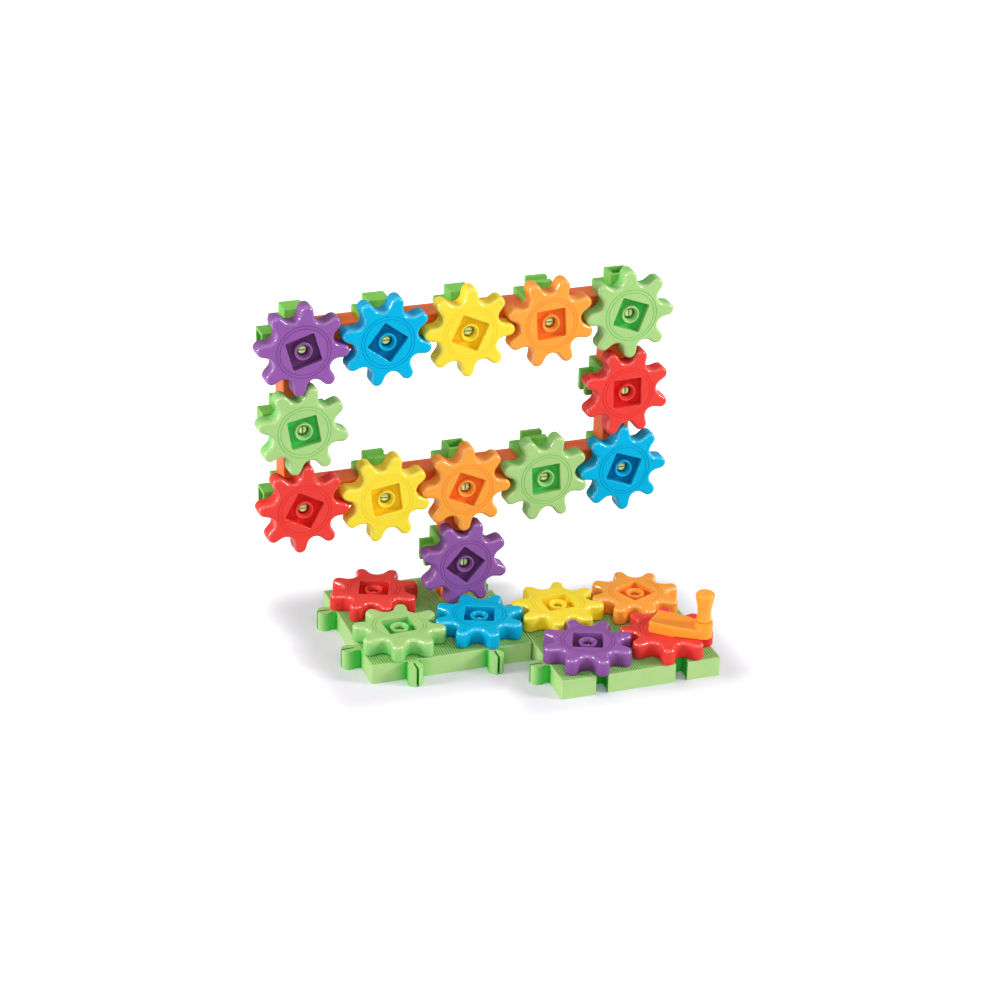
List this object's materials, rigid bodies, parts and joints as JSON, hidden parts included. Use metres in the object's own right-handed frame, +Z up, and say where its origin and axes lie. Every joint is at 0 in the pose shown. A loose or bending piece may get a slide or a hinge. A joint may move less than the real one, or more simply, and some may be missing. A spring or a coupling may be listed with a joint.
{
  "type": "hand cranked gear toy",
  "caption": "Moulded plastic gear toy: interlocking base plates and a wall frame of pillars carry meshing gears that a hand crank turns all together.",
  "frame": {"origin": "under the foot of the tower, on the plane that the base plates stand on", "axes": "+Z up, +X to the right along the wall of gears as seen from the front, -Y towards the front, where the wall gears face"},
  "size_m": [0.2444, 0.1484, 0.211],
  "materials": {
    "gear_red": "glossy red moulded plastic",
    "gear_green": "glossy pale green moulded plastic",
    "gear_blue": "glossy sky blue moulded plastic",
    "gear_yellow": "glossy yellow moulded plastic",
    "gear_orange": "glossy orange moulded plastic",
    "gear_purple": "glossy purple moulded plastic",
    "plate_green": "satin green moulded plastic with a finely ribbed top",
    "connector_green": "glossy leaf green moulded plastic",
    "pillar_orange": "glossy coral orange moulded plastic",
    "crank_orange": "glossy orange moulded plastic"
  },
  "bodies": {
    "stand": {"base_plate_left": "plate_green", "base_plate_right": "plate_green", "connector_top_1": "connector_green", "connector_top_2": "connector_green", "connector_top_3": "connector_green", "connector_top_4": "connector_green", "connector_top_5": "connector_green", "connector_left": "connector_green", "connector_right": "connector_green", "connector_bottom_1": "connector_green", "connector_bottom_2": "connector_green", "connector_bottom_3": "connector_green", "connector_bottom_4": "connector_green", "connector_bottom_5": "connector_green", "connector_tower": "connector_green", "pillar_top_1": "pillar_orange", "pillar_top_2": "pillar_orange", "pillar_top_3": "pillar_orange", "pillar_top_4": "pillar_orange", "pillar_bottom_1": "pillar_orange", "pillar_bottom_2": "pillar_orange", "pillar_bottom_3": "pillar_orange", "pillar_bottom_4": "pillar_orange", "pillar_left_lower": "pillar_orange", "pillar_left_upper": "pillar_orange", "pillar_right_lower": "pillar_orange", "pillar_right_upper": "pillar_orange", "pillar_tower_upper": "pillar_orange", "pillar_tower_foot": "pillar_orange"},
    "crank_gear": {"gear_crank_red": "gear_red", "crank_arm": "crank_orange"},
    "crank_knob": {"crank_knob": "crank_orange"},
    "gear_base_red": {"gear_base_red": "gear_red"},
    "gear_base_green": {"gear_base_green": "gear_green"},
    "gear_base_blue": {"gear_base_blue": "gear_blue"},
    "gear_base_yellow": {"gear_base_yellow": "gear_yellow"},
    "gear_base_orange": {"gear_base_orange": "gear_orange"},
    "gear_base_purple": {"gear_base_purple": "gear_purple"},
    "gear_top_1_purple": {"gear_top_1_purple": "gear_purple"},
    "gear_top_2_blue": {"gear_top_2_blue": "gear_blue"},
    "gear_top_3_yellow": {"gear_top_3_yellow": "gear_yellow"},
    "gear_top_4_orange": {"gear_top_4_orange": "gear_orange"},
    "gear_top_5_green": {"gear_top_5_green": "gear_green"},
    "gear_left_green": {"gear_left_green": "gear_green"},
    "gear_right_red": {"gear_right_red": "gear_red"},
    "gear_bottom_1_red": {"gear_bottom_1_red": "gear_red"},
    "gear_bottom_2_yellow": {"gear_bottom_2_yellow": "gear_yellow"},
    "gear_bottom_3_orange": {"gear_bottom_3_orange": "gear_orange"},
    "gear_bottom_4_green": {"gear_bottom_4_green": "gear_green"},
    "gear_bottom_5_blue": {"gear_bottom_5_blue": "gear_blue"},
    "gear_tower_purple": {"gear_tower_purple": "gear_purple"}
  },
  "joints": [
    {"name": "crank_turn", "type": "hinge", "parent": "stand", "child": "crank_gear", "pos_m": [0.096, -0.096, 0.016], "axis": [0, 0, 1], "continuous": true},
    {"name": "knob_spin", "type": "hinge", "parent": "crank_gear", "child": "crank_knob", "pos_m": [0.11182, -0.11128, 0.04], "axis": [0, 0, 1], "continuous": true},
    {"name": "base_red_spin", "type": "hinge", "parent": "stand", "child": "gear_base_red", "pos_m": [-0.048, 0, 0.0169], "axis": [0, 0, 1], "continuous": true},
    {"name": "base_green_spin", "type": "hinge", "parent": "stand", "child": "gear_base_green", "pos_m": [-0.048, -0.048, 0.0169], "axis": [0, 0, 1], "continuous": true},
    {"name": "base_blue_spin", "type": "hinge", "parent": "stand", "child": "gear_base_blue", "pos_m": [0, -0.048, 0.0169], "axis": [0, 0, 1], "continuous": true},
    {"name": "base_yellow_spin", "type": "hinge", "parent": "stand", "child": "gear_base_yellow", "pos_m": [0.048, -0.048, 0.0169], "axis": [0, 0, 1], "continuous": true},
    {"name": "base_orange_spin", "type": "hinge", "parent": "stand", "child": "gear_base_orange", "pos_m": [0.096, -0.048, 0.0169], "axis": [0, 0, 1], "continuous": true},
    {"name": "base_purple_spin", "type": "hinge", "parent": "stand", "child": "gear_base_purple", "pos_m": [0.048, -0.096, 0.0169], "axis": [0, 0, 1], "continuous": true},
    {"name": "tower_purple_spin", "type": "hinge", "parent": "stand", "child": "gear_tower_purple", "pos_m": [0, -0.0182, 0.0407], "axis": [0, -1, 0], "continuous": true},
    {"name": "bottom_1_red_spin", "type": "hinge", "parent": "stand", "child": "gear_bottom_1_red", "pos_m": [-0.096, -0.0182, 0.0887], "axis": [0, -1, 0], "continuous": true},
    {"name": "bottom_2_yellow_spin", "type": "hinge", "parent": "stand", "child": "gear_bottom_2_yellow", "pos_m": [-0.048, -0.0182, 0.0887], "axis": [0, -1, 0], "continuous": true},
    {"name": "bottom_3_orange_spin", "type": "hinge", "parent": "stand", "child": "gear_bottom_3_orange", "pos_m": [0, -0.0182, 0.0887], "axis": [0, -1, 0], "continuous": true},
    {"name": "bottom_4_green_spin", "type": "hinge", "parent": "stand", "child": "gear_bottom_4_green", "pos_m": [0.048, -0.0182, 0.0887], "axis": [0, -1, 0], "continuous": true},
    {"name": "bottom_5_blue_spin", "type": "hinge", "parent": "stand", "child": "gear_bottom_5_blue", "pos_m": [0.096, -0.0182, 0.0887], "axis": [0, -1, 0], "continuous": true},
    {"name": "left_green_spin", "type": "hinge", "parent": "stand", "child": "gear_left_green", "pos_m": [-0.096, -0.0182, 0.1367], "axis": [0, -1, 0], "continuous": true},
    {"name": "right_red_spin", "type": "hinge", "parent": "stand", "child": "gear_right_red", "pos_m": [0.096, -0.0182, 0.1367], "axis": [0, -1, 0], "continuous": true},
    {"name": "top_1_purple_spin", "type": "hinge", "parent": "stand", "child": "gear_top_1_purple", "pos_m": [-0.096, -0.0182, 0.1847], "axis": [0, -1, 0], "continuous": true},
    {"name": "top_2_blue_spin", "type": "hinge", "parent": "stand", "child": "gear_top_2_blue", "pos_m": [-0.048, -0.0182, 0.1847], "axis": [0, -1, 0], "continuous": true},
    {"name": "top_3_yellow_spin", "type": "hinge", "parent": "stand", "child": "gear_top_3_yellow", "pos_m": [0, -0.0182, 0.1847], "axis": [0, -1, 0], "continuous": true},
    {"name": "top_4_orange_spin", "type": "hinge", "parent": "stand", "child": "gear_top_4_orange", "pos_m": [0.048, -0.0182, 0.1847], "axis": [0, -1, 0], "continuous": true},
    {"name": "top_5_green_spin", "type": "hinge", "parent": "stand", "child": "gear_top_5_green", "pos_m": [0.096, -0.0182, 0.1847], "axis": [0, -1, 0], "continuous": true}
  ],
  "couplings": [
    {"joint": "base_red_spin", "follows": "crank_turn", "ratio": -1},
    {"joint": "base_green_spin", "follows": "crank_turn", "ratio": 1},
    {"joint": "base_blue_spin", "follows": "crank_turn", "ratio": -1},
    {"joint": "base_yellow_spin", "follows": "crank_turn", "ratio": 1},
    {"joint": "base_orange_spin", "follows": "crank_turn", "ratio": -1},
    {"joint": "base_purple_spin", "follows": "crank_turn", "ratio": -1},
    {"joint": "tower_purple_spin", "follows": "crank_turn", "ratio": 1},
    {"joint": "bottom_1_red_spin", "follows": "crank_turn", "ratio": -1},
    {"joint": "bottom_2_yellow_spin", "follows": "crank_turn", "ratio": 1},
    {"joint": "bottom_3_orange_spin", "follows": "crank_turn", "ratio": -1},
    {"joint": "bottom_4_green_spin", "follows": "crank_turn", "ratio": 1},
    {"joint": "bottom_5_blue_spin", "follows": "crank_turn", "ratio": -1},
    {"joint": "left_green_spin", "follows": "crank_turn", "ratio": 1},
    {"joint": "right_red_spin", "follows": "crank_turn", "ratio": 1},
    {"joint": "top_1_purple_spin", "follows": "crank_turn", "ratio": -1},
    {"joint": "top_2_blue_spin", "follows": "crank_turn", "ratio": 1},
    {"joint": "top_3_yellow_spin", "follows": "crank_turn", "ratio": -1},
    {"joint": "top_4_orange_spin", "follows": "crank_turn", "ratio": 1},
    {"joint": "top_5_green_spin", "follows": "crank_turn", "ratio": -1}
  ]
}
